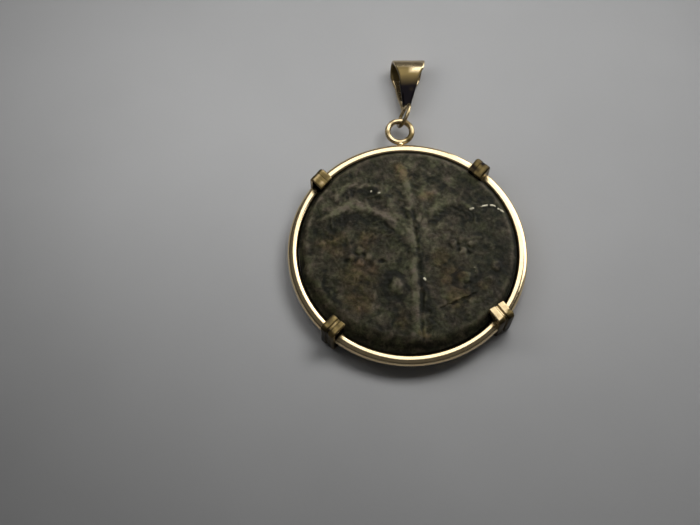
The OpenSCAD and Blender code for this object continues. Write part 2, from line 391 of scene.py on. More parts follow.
def bronze_material():
    """Worn bronze: mottled olive patina that is paler on the relief, near black in hollows, partly
    painted shade, and browner in earthy patches, with bare metal where it is chipped. Its tone also
    carries painted shade at the bevel."""
    m = Material("old_bronze_patina")
    mottle = m.remap(m.noise(1.0, detail=5, roughness=0.62, distortion=0.6), 0.3, 0.7, -0.36, 0.36)
    grain = m.remap(m.noise(0.35, detail=4, roughness=0.7), 0.3, 0.7, -0.16, 0.16)
    tone = m.math("ADD", m.attribute("tone"), m.math("ADD", mottle, grain))
    base = m.ramp(tone, PATINA)
    tint = m.remap(m.noise(1.5, detail=5, roughness=0.7, distortion=0.5), 0.38, 0.62)
    base = m.mix(tint, m.tinted(base, GREENER), m.tinted(base, REDDER))
    brown = m.remap(m.attribute("brown"), 0, 1, 0, 0.8)
    base = m.mix(brown, base, m.tinted(base, EARTHY))
    bare = m.remap(m.attribute("bare"), 0.2, 0.7)
    m.feed("Base Color", m.mix(bare, base, BARE_BRONZE))
    m.feed("Metallic", m.remap(bare, 0, 1, 0, 0.8))
    m.set("Specular IOR Level", 0.12)
    rough = m.remap(grain, -0.2, 0.2, 0.72, 0.5)
    rough = m.math("SUBTRACT", rough, m.remap(bare, 0, 1, 0, 0.2))
    shade = m.remap(m.attribute("shade"), 0, 1, 0, 0.35)
    m.feed("Roughness", m.math("ADD", rough, shade))
    coarse = m.bump(m.noise(0.5, detail=5, roughness=0.65), 0.05)
    m.bump(m.noise(0.13, detail=4, roughness=0.6), 0.025, under=coarse)
    return m.data


def gold_material(name, colour):
    """Polished gold with hair scratches, a slightly wavy surface, a thin film, and tarnish and painted
    shade, brown then black, in corners and under things.
    """
    m = Material(name)
    film = m.remap(m.noise(1.7, detail=5, roughness=0.6), 0.42, 0.72, 0, 0.35)
    base = m.mix(film, colour, tuple(c*s for c, s in zip(colour, THIN_FILM)))
    # This attribute holds tarnish and painted shade, brown at first and black where it is strong
    dirt = m.attribute("dirt")
    base = m.mix(m.remap(dirt, 0, 0.6), base, BROWN_TARNISH_AND_SHADE)
    base = m.mix(m.remap(dirt, 0.6, 1), base, BLACK_TARNISH_AND_SHADE)
    m.feed("Base Color", base)
    m.feed("Metallic", m.remap(dirt, 0.1, 1, 1, 0.5))
    m.set("Specular IOR Level", 0.05)
    smudge = m.noise(0.6, detail=6, roughness=0.7)
    rough = m.remap(smudge, 0.35, 0.7, 0.75*GOLD_ROUGHNESS, 1.35*GOLD_ROUGHNESS)
    m.feed("Roughness", m.math("ADD", rough, m.remap(dirt, 0, 1, 0, 0.25)))
    waves = m.bump(m.noise(1.6, detail=2), 0.012)
    hairs = m.bump(m.noise(0.5, detail=3, stretch=(1, 14, 3), distortion=0.4), 0.0012, under=waves)
    m.bump(m.noise(0.4, detail=3, stretch=(12, 1, 4), distortion=0.4), 0.0012, under=hairs)
    return m.data


def paper_material():
    """Smooth grey paper with a faint tooth."""
    m = Material("grey_paper")
    m.feed("Base Color", m.ramp(m.noise(30, detail=3), PAPER))
    m.set("Roughness", 0.85)
    m.set("Specular IOR Level", 0.2)
    m.bump(m.noise(0.5, detail=4), 0.01)
    return m.data


# Camera, lights and floor

def add_camera():
    swing = turn("Z", CAMERA_TURN)
    rise = radians(CAMERA_RISE)
    right = swing @ (1, 0, 0)
    up = swing @ (0, sin(rise), cos(rise))
    back = swing @ (0, -cos(rise), sin(rise))
    eye = in_model_frame(swing @ CAMERA_AIM + CAMERA_AWAY*back)
    data = bpy.data.cameras.new("camera")
    data.sensor_width = SENSOR_MM
    data.lens = FOCAL_PIXELS/IMAGE_WIDTH*SENSOR_MM
    data.clip_start, data.clip_end = CAMERA_CLIP
    camera = bpy.data.objects.new("camera", data)
    camera.matrix_world = Matrix([*zip(right, up, back, eye), (0, 0, 0, 1)])
    bpy.context.collection.objects.link(camera)
    bpy.context.scene.camera = camera


def add_light(name, middle, facing, half, radiance, spin, matt):
    """Rectangular light that shows in matt reflection alone, or else in shiny reflection alone."""
    data = bpy.data.lights.new(name, "AREA")
    data.shape = "RECTANGLE"
    data.size = 2*half[0]*MM
    data.size_y = 2*half[1]*MM
    data.energy = radiance*pi*data.size*data.size_y
    light = bpy.data.objects.new(name, data)
    light.location = in_model_frame(middle)
    aim = Vector(facing).to_track_quat("Z", "Y").to_matrix() @ Matrix.Rotation(radians(spin), 3, "Z")
    light.rotation_euler = aim.to_euler()
    light.visible_camera = False
    light.visible_glossy = not matt
    light.visible_diffuse = matt
    bpy.context.collection.objects.link(light)


def add_lights():
    """Two lamps behind the pendant, a high one on its right and a lower one on its left, and for the
    polished metal a broad screen, a window, a pale backdrop and a dim room."""
    for lamp in LAMPS:
        add_light(*lamp, matt=True)
    for shine in SHINES:
        add_light(*shine, matt=False)


def add_world():
    world = bpy.data.worlds.new("studio")
    world.use_nodes = True
    background = world.node_tree.nodes["Background"]
    background.inputs["Color"].default_value = (1, 1, 1, 1)
    background.inputs["Strength"].default_value = ROOM_GLOW
    bpy.context.scene.world = world
    bpy.context.scene.view_settings.view_transform = "Standard"


def add_floor():
    corners = [(FLOOR_HALF*x, FLOOR_HALF*y, 0) for x, y in ((-1, -1), (1, -1), (1, 1), (-1, 1))]
    mesh = bpy.data.meshes.new("floor")
    mesh.from_pydata(corners, [], [(0, 1, 2, 3)])
    mesh.materials.append(paper_material())
    floor = bpy.data.objects.new("floor", mesh)
    bpy.context.collection.objects.link(floor)


# Relief of the coin

# Palm's crown and its fronds, one row each: tip and arch point as shares of the coin's radius, then
# a share of FROND_W and of RELIEF_H
CROWN = np.array([0.06, 0.02])
FRONDS = [
    ((-0.02, 0.80), (0.08, 0.45), 1, 1),
    ((-0.64, 0.52), (-0.29, 0.97), 0.9, 0.8),
    ((-0.77, 0.30), (-0.40, 0.64), 1.1, 1),
    ((-0.66, 0.08), (-0.35, 0.36), 0.8, 0.6),
    ((0.17, 0.76), (0.19, 0.48), 0.9, 0.8),
    ((0.66, 0.34), (0.30, 0.64), 1, 0.9),
    ((0.60, 0.02), (0.33, 0.36), 0.8, 0.6),
]
FROND_STEPS = 24

# Leaflets, a range each: step along the frond in millimetres, angle off it in radians, length as
# a share of LEAFLET_REACH, half width in millimetres, and height as a share of the frond's
LEAFLET_STEP = (0.55, 1.0)
LEAFLET_ANGLE = (0.6, 1.1)
LEAFLET_LENGTH = (0.6, 1.25)
LEAFLET_HALF_W = (0.32, 0.5)
LEAFLET_H = (0.25, 0.75)

# Bare stretch of a frond before its first leaflets, and how far their ends hang, in millimetres
FROND_STALK = 1.2
LEAFLET_DROOP = 0.3

# Distance between the rings of the trunk's bark
BARK_PITCH = 0.9

# Round bosses, one row each: middle and half sizes as shares of the coin's radius, then a share of
# RELIEF_H
BOSSES = [
    ((-0.13, -0.37), (0.08, 0.11), 1),
    ((0.50, -0.32), (0.09, 0.07), 0.8),
    ((0.80, -0.21), (0.06, 0.07), 0.8),
    ((-0.45, -0.02), (0.05, 0.05), 0.7),
    ((-0.37, -0.09), (0.05, 0.05), 0.7),
    ((-0.44, -0.14), (0.05, 0.05), 0.7),
    ((-0.52, -0.09), (0.05, 0.05), 0.7),
    ((0.42, 0.02), (0.05, 0.05), 0.7),
    ((0.50, -0.06), (0.05, 0.05), 0.7),
    ((0.58, 0.01), (0.05, 0.05), 0.7),
    ((0.50, 0.08), (0.05, 0.05), 0.7),
]


def bearing(p):
    return np.arctan2(p[:, 1], p[:, 0])


def near_piece(p, start, end):
    """Share of the way from start to end that lies nearest to each point, and its distance."""
    piece = end - start
    t = np.clip((p - start) @ piece/(piece @ piece), 0, 1)
    return t, np.linalg.norm(p - start - t[:, None]*piece, axis=1)


def distance_to_path(p, path):
    """Distance of each point from a path of straight pieces."""
    path = np.array(path, float)
    return np.min([near_piece(p, start, end)[1] for start, end in zip(path[:-1], path[1:])], axis=0)


def frond_path(tip, arch):
    t = np.linspace(0, 1, FROND_STEPS + 1)[:, None]
    return COIN_R*((1 - t)**2*CROWN + 2*t*(1 - t)*np.array(arch) + t*t*np.array(tip))


def leaflet_z(p, start, end, half_w, height):
    """Height of a short straight ridge that thins and falls towards its end."""
    t, d = near_piece(p, start, end)
    return height*(1 - 0.35*t)*ridge(d, half_w*(1 - 0.4*t))


def leaflets_z(p, path, random):
    """Height of the leaflets that slant off a frond's path on both sides, as a share of the frond's."""
    lengths = np.concatenate([[0], np.cumsum(np.linalg.norm(np.diff(path, axis=0), axis=1))])

    def at(place):
        return np.array([np.interp(place, lengths, path[:, k]) for k in (0, 1)])

    z = np.zeros(len(p))
    ahead = 0.1
    place = FROND_STALK
    while place < lengths[-1] - ahead:
        base = at(place)
        x, y = at(place + ahead) - base
        for side in (-1, 1):
            angle = atan2(y, x) + side*random.uniform(*LEAFLET_ANGLE)
            reach = LEAFLET_REACH*random.uniform(*LEAFLET_LENGTH)
            end = base + (reach*cos(angle), reach*sin(angle) - LEAFLET_DROOP)
            half_w = random.uniform(*LEAFLET_HALF_W)
            height = random.uniform(*LEAFLET_H)
            z = np.maximum(z, leaflet_z(p, base, end, half_w, height))
        place += random.uniform(*LEAFLET_STEP)
    return z


def frond_z(p, index):
    """Height of a frond: a worn rib and its leaflets."""
    tip, arch, width, height = FRONDS[index]
    path = frond_path(tip, arch)
    d = distance_to_path(p, path)
    z = ridge(d, FROND_W*width)*(0.72 + 0.28*noise(p, 0.9, 90 + index))
    near = d < 1.5*LEAFLET_REACH
    z[near] = np.maximum(z[near], leaflets_z(p[near], path, np.random.default_rng(100 + index)))
    return RELIEF_H*height*z


def trunk_z(p):
    """Height of the worn trunk, which widens to a foot at the coin's lower edge."""
    down = CROWN[1]*COIN_R - p[:, 1]
    share = down/COIN_R
    half_w = TRUNK_W/2 + (TRUNK_FOOT_W - TRUNK_W)/2*smooth((share - 0.55)/0.4)
    off = np.abs(p[:, 0] - COIN_R*(CROWN[0] - 0.03*share))
    bark = 0.06*np.cos(2*pi*(down + 0.3*off)/BARK_PITCH)
    worn = 0.7 + bark + 0.35*noise(p, 0.9, 89)
    return np.where(down < 0, 0, 0.7*RELIEF_H*smooth(1.3*(1 - off/half_w))*worn)


def boss_z(p, boss):
    middle, half, height = boss
    q = (p/COIN_R - middle)/half
    return RELIEF_H*height*smooth(1.5*(1 - np.linalg.norm(q, axis=1)))


def relief_z(p):
    """Height of the whole relief, its outlines made uneven by wear."""
    p = ragged(p, 0.16, 0.8, 3)
    z = trunk_z(p)
    for index in range(len(FRONDS)):
        z = np.maximum(z, frond_z(p, index))
    for boss in BOSSES:
        z = np.maximum(z, boss_z(p, boss))
    return z


# Wear of the coin

# Pits and brown patches on the face in millimetres, one row each: middle and radius
PITS = [
    ((-5.1, -0.8), 0.3), ((-4.4, -2.1), 0.34), ((-3.1, -1.6), 0.28), ((-7.2, -1.5), 0.22),
    ((5.7, 0.1), 0.26), ((5.8, -0.6), 0.22), ((6.9, -1.0), 0.26), ((1.9, -7.9), 0.24),
]
BROWN_PATCHES = [
    ((-5.6, -3.2), 2.2), ((-8.6, 0.5), 1.7), ((-5.0, 1.0), 1.2), ((3.6, -1.5), 1.1), ((4.6, -3.4), 1.6),
    ((5.2, -6.3), 1.5), ((-1.2, -8.6), 1.2), ((-0.3, 9.6), 1.1), ((2.6, 6.6), 1.0), ((-5.8, -6.5), 1.6),
    ((1.6, -10.2), 0.5), ((8.3, -5.2), 0.9),
]

# Paler and darker strokes of the patina in millimetres, one row each: half width, strength and path.
# Pale ones follow the fronds and the trunk, dark ones lie in the deep lines beside them, partly dark
# patina and partly painted shadow of the relief
TONE_STROKES = [
    (0.55, 0.42, [(-2.4, 4.0), (-3.9, 4.8), (-5.2, 5.4), (-6.6, 5.7), (-7.7, 5.2), (-8.3, 4.5)]),
    (0.45, 0.24, [(-1.6, 5.8), (-2.8, 7.6), (-4.2, 8.2), (-5.8, 8.2), (-7.1, 7.6), (-7.9, 6.6)]),
    (0.50, 0.42, [(-1.5, 3.8), (-0.2, 2.5), (0.5, 1.3), (0.9, 0.1)]),
    (0.50, 0.38, [(-0.2, 9.4), (0.2, 7.6), (0.8, 6.2), (1.0, 4.4), (1.5, 3.4)]),
    (0.80, 0.26, [(1.9, 6.2), (3.2, 7.0)]),
    (0.50, 0.22, [(2.1, 2.4), (3.1, 4.5), (4.5, 5.7), (6.0, 6.2)]),
    (0.40, 0.16, [(3.6, 7.6), (4.9, 8.4), (6.1, 9.0)]),
    (0.55, 0.26, [(0.5, -1.8), (0.5, -4.5), (0.6, -7.5), (0.5, -10.6)]),
    (0.80, 0.14, [(-9.6, 1.2), (-6.5, 1.2), (-3.4, 1.6)]),
    (0.90, 0.16, [(-1.4, 10.4), (1.0, 10.0)]),
    (0.45, 0.30, [(4.3, -7.0), (5.6, -6.7), (6.9, -6.2)]),
    (0.60, 0.22, [(-7.6, -6.0), (-5.6, -7.2), (-3.6, -7.0)]),
    (0.50, -0.45, [(-7.0, 6.9), (-5.5, 7.2), (-3.6, 6.9), (-1.8, 6.4)]),
    (0.85, -0.45, [(-9.6, 2.5), (-7.5, 3.5), (-5.5, 3.9), (-3.6, 3.4), (-2.4, 2.8)]),
    (0.28, -0.50, [(-0.9, 7.4), (-0.3, 5.4), (0.3, 4.2), (1.0, 2.8), (1.2, 0.6)]),
    (0.30, -0.45, [(-1.8, 1.8), (-0.6, 0.8), (0.3, -0.4), (0.95, -0.8)]),
    (0.30, -0.75, [(1.05, -0.2), (1.2, -1.2), (1.25, -2.6), (1.2, -4.4), (1.35, -6.0), (1.35, -7.6)]),
    (0.55, -0.35, [(1.7, -4.6), (2.2, -5.8), (1.9, -7.6), (2.2, -9.4)]),
    (0.60, -0.35, [(3.4, 2.9), (4.4, 4.0), (6.0, 4.8), (7.6, 3.6)]),
    (0.60, -0.30, [(1.4, 9.4), (3.0, 8.6), (4.4, 7.4)]),
    (0.28, -0.70, [(3.3, -7.35), (4.8, -7.1), (6.1, -6.6), (6.8, -6.1)]),
    (0.50, -0.30, [(-9.6, -2.6), (-9.2, -4.6), (-8.4, -6.4)]),
]

# How many times wider a stroke is with its frayed edges
FRAYED = 1.6

# Dark rings round the three large bosses in millimetres, one row each: middle, radii and half width
BOSS_RINGS = [
    ((-1.6, -4.6), (1.15, 1.55), 0.46),
    ((6.2, -4.0), (1.2, 1.0), 0.4025),
    ((9.9, -2.6), (0.9, 1.05), 0.4025),
]

# Dark line that runs down the right side of the central frond and of the trunk, a step on the
# lower right, and chips with bare metal, in millimetres
TRUNK_LINE = [
    (0.9, 4.6), (0.8, 2.6), (1.0, 1.0), (1.1, -1.0), (1.05, -4.0), (1.2, -6.0), (1.0, -8.0), (1.0, -11.0),
]
STEP_LINE = [(3.3, -7.3), (4.6, -7.0), (6.1, -6.4), (7.0, -5.9)]
CHIP_LINES = [
    [(7.45, 4.45), (7.75, 4.5)],
    [(8.8, 4.75), (9.6, 4.9), (10.3, 4.7)],
    [(10.7, 4.4), (11.3, 4.0)],
    [(-3.05, 6.9), (-2.9, 6.95)],
    [(-3.9, 7.15), (-3.85, 7.2)],
    [(1.6, -3.9), (1.75, -4.1)],
    [(7.4, -2.9), (7.45, -3.3)],
]

# Their depths, lips and half widths in millimetres, and the slope that parts the step's lower side
PIT_DEPTH = 0.17
TRUNK_LINE_DEPTH = 0.19
TRUNK_LINE_HALF_W = 0.38
STEP_FALL = 0.13
STEP_LIP = 0.05
STEP_HALF_W = 0.4
STEP_SLOPE = 0.37
CHIP_LIP = 0.08
CHIP_HALF_W = 0.22

# Waves of broad wear, one row each: shares of x and y, and a lead in degrees
WEAR_WAVES = [(1.1, 0.7, 0), (0.5, -1.3, 40), (1.9, 0.3, 110)]

# How far round a point its surroundings are felt, and the depth under them of a full hollow
HOLLOW_REACH = 0.42
HOLLOW_DEPTH = 0.12

# How much fuller the coin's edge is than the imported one, so that no floor shows inside the ring
EDGE_FULLNESS = 0.08


def wear(p):
    """Broad uneven wear, from -1 to 1."""
    x, y = (p*2*pi/COIN_R).T
    return sum(np.sin(a*x + b*y + radians(lead)) for a, b, lead in WEAR_WAVES)/len(WEAR_WAVES)


def bevel_share(a):
    """How wide and deep the bevel is worn at an angle, from 0 to 1."""
    return (0.5 + 0.5*np.cos(a - radians(BEVEL_SIDE)))**3


def outline_r(a):
    """Radius of the coin's edge, which isn't quite round."""
    uneven = 0.5 + 0.25*np.sin(2*a + radians(30)) + 0.25*np.sin(3*a)
    return COIN_R + EDGE_FULLNESS - 0.5*OUT_OF_ROUND*uneven


def in_bevel(p):
    """Share of the bevel's fall, from 0 at its inner side to 1 at the coin's edge."""
    a = bearing(p)
    width = BEVEL_NARROW + (BEVEL_WIDE - BEVEL_NARROW)*bevel_share(a)
    return smooth(1 - (outline_r(a) - np.linalg.norm(p, axis=1))/width)


def chips_at(p):
    """Small chips, from 0 to 1, broken up along their lines."""
    q = ragged(p, 0.1, 0.3, 25)
    nearest = np.min([distance_to_path(q, line) for line in CHIP_LINES], axis=0)
    return ridge(nearest, CHIP_HALF_W)*smooth(0.75 + 2.2*noise(p, 0.28, 16))


def marks_z(p):
    """Pits, lines, chips and grainy corrosion."""
    z = np.zeros(len(p))
    for middle, r in PITS:
        z -= PIT_DEPTH*np.exp(-(np.linalg.norm(p - middle, axis=1)/r)**2)
    q = ragged(p, 0.16, 0.6, 17)
    line = ridge(distance_to_path(q, TRUNK_LINE), TRUNK_LINE_HALF_W)
    z -= TRUNK_LINE_DEPTH*line*(0.75 + 0.35*noise(p, 0.7, 19))
    step = ridge(distance_to_path(q, STEP_LINE), STEP_HALF_W)*smooth(1.2 + 1.4*noise(p, 0.7, 20))
    start_x, start_y = STEP_LINE[0]
    below = q[:, 1] < start_y + STEP_SLOPE*(q[:, 0] - start_x)
    z += np.where(below, -STEP_FALL, STEP_LIP)*step
    z += CHIP_LIP*chips_at(p)
    z += 0.05*noise(p, 1.3, 6) + 0.05*noise(p, 0.62, 7) + 0.04*noise(p, 0.3, 8)
    return z


def face_z(p):
    """Height of the coin's face: relief and marks on its field, which falls away at the bevel."""
    edge = in_bevel(p)
    drop = BEVEL_FALL + BEVEL_MORE_FALL*bevel_share(bearing(p))
    rubbed = 0.7 + 0.2*noise(p, 1.7, 5) + 0.25*noise(p, 0.7, 12)
    marks = marks_z(p)
    relief = relief_z(p)*rubbed + WEAR_H*wear(p) + marks
    raised = np.minimum((1 - edge)*relief, RELIEF_H + WEAR_H)
    return FIELD_Z + raised - drop*edge + 0.45*edge*marks


def hollows_at(p, z):
    """How deep each point lies under its surroundings, from -1 to 1."""
    around = [HOLLOW_REACH*np.array([cos(t), sin(t)]) for t in np.arange(8)*pi/4]
    level = np.mean([face_z(p + step) for step in around], axis=0)
    return np.clip((level - z)/HOLLOW_DEPTH, -1, 1)


def brown_at(p):
    """Soft round brown patches with ragged edges, from 0 to 1."""
    q = ragged(p, 0.8, 1.1, 14)
    patches = [np.exp(-(np.linalg.norm(q - middle, axis=1)/r)**4) for middle, r in BROWN_PATCHES]
    return np.max(patches, axis=0)


def strokes_at(p):
    """Sum of the pale and dark strokes, their edges frayed and their strength uneven."""
    q = ragged(ragged(p, 0.5, 0.9, 27), 0.2, 0.4, 29)
    tone = np.zeros(len(p))
    for half_w, strength, path in TONE_STROKES:
        tone += strength*ridge(distance_to_path(q, path), FRAYED*half_w)
    rings = np.zeros(len(p))
    for middle, radii, half_w in BOSS_RINGS:
        off = (np.linalg.norm((q - middle)/radii, axis=1) - 1)*min(radii)
        rings += 0.8*ridge(off, half_w)
    broken = np.clip(noise(p, 0.75, 31) + 0.8*noise(p, 0.4, 32), -0.8, 0.9)
    return tone*(0.9 + 1.1*broken) - rings*(0.9 + 0.5*broken)


def patina(p, z):
    """Tone, painted shade, brown and bare metal over the face, each from 0 to about 1."""
    height = np.clip((z - FIELD_Z)/RELIEF_H, 0, 1)
    # Paler on the relief and darker in hollows: the hollows' darkening is partly dark patina and partly
    # painted shade
    tone = 0.40 + 0.14*height - 0.38*hollows_at(p, z) + 1.05*strokes_at(p)
    tone += 0.12*noise(p, 2.6, 33) + 0.12*noise(p, 1.2, 34) + 0.12*noise(p, 0.6, 35)
    # The right side and the lower edge are a little darker, partly patina and partly painted shade, and
    # the bevel gets painted shade from the ring
    tone -= 0.14*smooth((p[:, 0] - 4)/5) + 0.12*smooth((-p[:, 1] - 7)/4)
    edge = in_bevel(p)
    shade = smooth((edge - 0.4)/0.4)*np.clip(0.45 + 0.8*bevel_share(bearing(p)), 0, 1)
    shade = np.maximum(shade, smooth((edge - 0.9)/0.1))
    tone = np.clip(tone, 0, 1)*(1 - shade) + 0.12*shade*(edge < 0.97)
    return tone, shade, brown_at(p)*(1 - shade), chips_at(p)


# Coin

FACE_RINGS = 140


def face_points():
    """Middle and rings of points over the face, each ring with six more points than the last."""
    flat = [np.zeros((1, 2))]
    for k in range(1, FACE_RINGS + 1):
        a = np.arange(6*k)*2*pi/(6*k)
        flat.append(np.column_stack([np.cos(a), np.sin(a)])*(outline_r(a)*k/FACE_RINGS)[:, None])
    return np.vstack(flat)


def face_triangles():
    """Triangles between the rings of points, in six sectors."""
    def at(k, i):
        return 0 if k == 0 else 1 + 3*k*(k - 1) + i % (6*k)

    faces = []
    for k in range(1, FACE_RINGS + 1):
        for sector in range(6):
            for j in range(k):
                out = sector*k + j
                inside = sector*(k - 1) + j
                faces.append((at(k, out), at(k, out + 1), at(k - 1, inside)))
                if j < k - 1:
                    faces.append((at(k, out + 1), at(k - 1, inside + 1), at(k - 1, inside)))
    return faces


def side_rows(rim_z):
    """Rows of points from the face's edge over the side and the back's bevel to the back: how far in
    from the edge, height, and whether the row is worn uneven."""
    back_z = -COIN_T/2
    bevel_z = back_z + BEVEL_FALL
    rows = [(0.02, rim_z - 0.05, False), (0.02, rim_z - 0.35, False)]
    rows += [(0, bevel_z + 0.6, True), (0, bevel_z, True)]
    rows += [(BACK_BEVEL*t, back_z + BEVEL_FALL*(1 - t), True) for t in (0.33, 0.66)]
    rows += [(inset, back_z, False) for inset in (BACK_BEVEL, 1.2, 3, 6, 9)]
    return rows


def add_coin():
    """Struck face in fine triangles, then rows of points round the side and over the plain back."""
    p = face_points()
    faces = face_triangles()
    z = face_z(p)
    n = 6*FACE_RINGS
    a = np.arange(n)*2*pi/n
    points = [np.column_stack([p, z])]
    first = len(p) - n
    start = len(p)
    for inset, height, worn in side_rows(z[-n:]):
        r = outline_r(a) - inset
        row = np.column_stack([r*np.cos(a), r*np.sin(a), np.broadcast_to(height, n)])
        if worn:
            row[:, 2] += 0.04*noise(row, 0.9, 11)
        points.append(row)
        for i in range(n):
            j = (i + 1) % n
            faces.append((first + i, start + i, start + j, first + j))
        first = start
        start += n
    faces.append(tuple(reversed(range(first, first + n))))
    points = np.vstack(points)

    # The two rows under the face's edge get full painted shade, a black tone, and the back has a tone of
    # its own
    tone, shade, brown, bare = patina(p, z)
    under = 2*n
    back = len(points) - len(p) - under
    back_tone = 0.3 + 0.15*noise(points[-back:], 2.0, 36)
    add_piece(
        "coin_struck", points, faces, bronze_material(), "old_bronze", "coin",
        tone=np.concatenate([tone, np.zeros(under), back_tone]),
        shade=np.concatenate([shade, np.ones(under), np.full(back, 0.3)]),
        brown=np.concatenate([brown, np.zeros(under + back)]),
        bare=np.concatenate([bare, np.zeros(under + back)]),
    )


# Ring, claws and loop

# Claws, one row each: corner, skew in degrees, shares of CLAW_REACH, CLAW_W and CLAW_SINK, the share
# of the groove that isn't filled with solder and wear, and how brown the head is: tarnish that also
# stands in for its dark reflection
CLAWS = [
    (44, 0, 1, 0.95, 1.5, 0.2, 0.92),
    (135.5, 0, 0.5, 1, 1.4, 0.15, 0.64),
    (224.5, 0, 1.15, 0.95, 0.9, 0.6, 0.73),
    (316, -18, 1, 1.03, 0.7, 1, 0.3),
]

# Rounding of a claw's tips, of its strands' edges and of the web between them, how far the web
# reaches into each strand, and the height above which a claw is its head
TIP_ROUND = 0.16
STRAND_ROUND = 0.21
WEB_ROUND = 0.02
WEB_BITE = 0.15
HEAD_Z = 0.6*CLAW_H

# Points along the solder between ring and loop and round it, and how far outside the middle of the
# ring's wire it begins
NECK_ROWS = 15
NECK_COLS = 32
NECK_START = 0.35


def claw_outline(in_r, out_r, trim):
    """Side view of a claw, as points in (radius, height) and outward directions with mitres."""
    leg_h = CLAW_H - CLAW_BEND
    bend_r = out_r - CLAW_BEND
    arm_l = bend_r - in_r
    dip = asin(RELIEF_H/arm_l)
    outer = CLAW_BEND - trim
    inner = CLAW_T - CLAW_BEND

    def arm(length):
        """Arm about the middle of its bend, from the underside of its tip over its back to the bend."""
        tip = [(x - length, inner - z) for x, z in reversed(rounded(TIP_ROUND))]
        tip += [(x - length, z - outer) for x, z in rounded(TIP_ROUND)]
        back = [(-length*share, -outer) for share in np.linspace(0.85, 0.15, 6)]
        return tip + back + [(outer*sin(t), -outer*cos(t)) for t in np.linspace(0, pi/2, 9)]

    # The head dips towards the coin's field, and the foot is level
    head = []
    for x, z in arm(arm_l/cos(dip)):
        head.append((bend_r + x*cos(dip) + z*sin(dip), leg_h + x*sin(dip) - z*cos(dip)))
    foot = [(bend_r + x, z - leg_h) for x, z in arm(arm_l)]
    inside = [(out_r - CLAW_T, -leg_h - inner), (out_r - CLAW_T, leg_h + inner*0.9)]
    outline = np.array(head + foot[::-1] + inside)
    before = left_of(outline - np.roll(outline, 1, axis=0))
    after = left_of(np.roll(outline, -1, axis=0) - outline)
    spread = np.maximum(1 + np.sum(before*after, axis=1), 0.4)
    return outline, (before + after)/spread[:, None]


def claw_dirt(points, rounding, tarnish_and_shade, seed):
    """Tarnish and painted shade of a claw that points along x: its head is tarnished brown, which also
    stands in for its dark reflection, its head's edges are rubbed bright, and its sides and the strip
    down to its foot get brown painted shade."""
    radius = points[:, 0]
    height = points[:, 2]
    rubbed = smooth(rounding - 0.1)*(height > HEAD_Z)
    on_head = smooth((RING_OUT_R - 0.2 - radius)/0.3)*smooth((height - HEAD_Z)/0.4)
    # Brown tarnish on the head, also standing in for its dark reflection, and brown painted shade on the
    # sides and the strip down to the foot
    brown = np.maximum(tarnish_and_shade, 0.88*(1 - on_head))
    return brown*(0.92 + 0.3*noise(points, 0.45, seed))*(1 - 0.5*rubbed)


def add_claw(shells, angle, skew, reach, width, sink, groove, tarnish_and_shade, seed):
    """Claw of two rounded strands, with a sunk web between them."""
    in_r = COIN_R - CLAW_REACH*reach
    out_r = RING_OUT_R + CLAW_T - CLAW_SINK*sink
    strand_w = (CLAW_W*width - GROOVE_W)/2
    strand_at = (GROOVE_W + strand_w)/2
    sway = turn("Z", skew)
    place = turn("Z", angle + CLAW_TURN)
    for middle, wide, trim, edge in (
        (-strand_at, strand_w, 0, STRAND_ROUND),
        (strand_at, strand_w, 0, STRAND_ROUND),
        (0, GROOVE_W + 2*WEB_BITE, GROOVE_DEPTH*groove, WEB_ROUND),
    ):
        outline, normals = claw_outline(in_r, out_r, trim)
        left = [(x - wide/2, inset) for x, inset in rounded(edge)]
        across = left + [(0, 0)] + [(-x, inset) for x, inset in reversed(left)]
        rows = []
        for x, inset in across:
            side = outline - inset*normals
            rows.append(np.column_stack([side[:, 0], np.full(len(side), middle + x), side[:, 1]]))
        points = ragged(np.vstack(rows), 0.02, 0.9, seed + 1, shift=NOISE_SHIFT + 7*seed)
        points = (points - (RING_R, 0, 0)) @ sway.T + (RING_R, 0, 0)
        points[:, 2] = np.maximum(points[:, 2], -CLAW_H)
        rounding = np.repeat([inset/edge for _, inset in across], len(outline))
        dirt = claw_dirt(points, rounding, tarnish_and_shade, seed)
        shells.add(points @ place.T, capped(len(across), len(outline)), dirt)


def add_solder_neck(shells):
    """Solder that flares from the loop down to the ring."""
    low_y = RING_R + NECK_START
    high_y = LOOP_Y - LOOP_R
    points = []
    for i in range(NECK_ROWS):
        t = i/(NECK_ROWS - 1)
        y = low_y + (high_y - low_y)*t
        r = SOLDER_D/2*(0.75 + 0.85*(1 - t)**3 + 0.1*t**4)
        for j in range(NECK_COLS):
            a = 2*pi*j/NECK_COLS
            points.append((r*1.15*cos(a), y, -r*0.85*sin(a)))
    shells.add(points, capped(NECK_ROWS, NECK_COLS))


def ring_dirt(points):
    """Painted shade under the ring, and on it beside and under the claws."""
    dirt = 0.6*smooth((-0.25 - points[:, 2])/0.6)
    low = smooth((1.5 - points[:, 2])/0.8)
    for corner, *_ in CLAWS:
        a = radians(corner + CLAW_TURN)
        off = np.linalg.norm(points[:, :2] - (RING_R*cos(a), RING_R*sin(a)), axis=1)
        dirt = np.maximum(dirt, 0.7*smooth(1.8 - off)*low)
    return dirt*(0.8 + 0.2*noise(points, 0.5, 61))


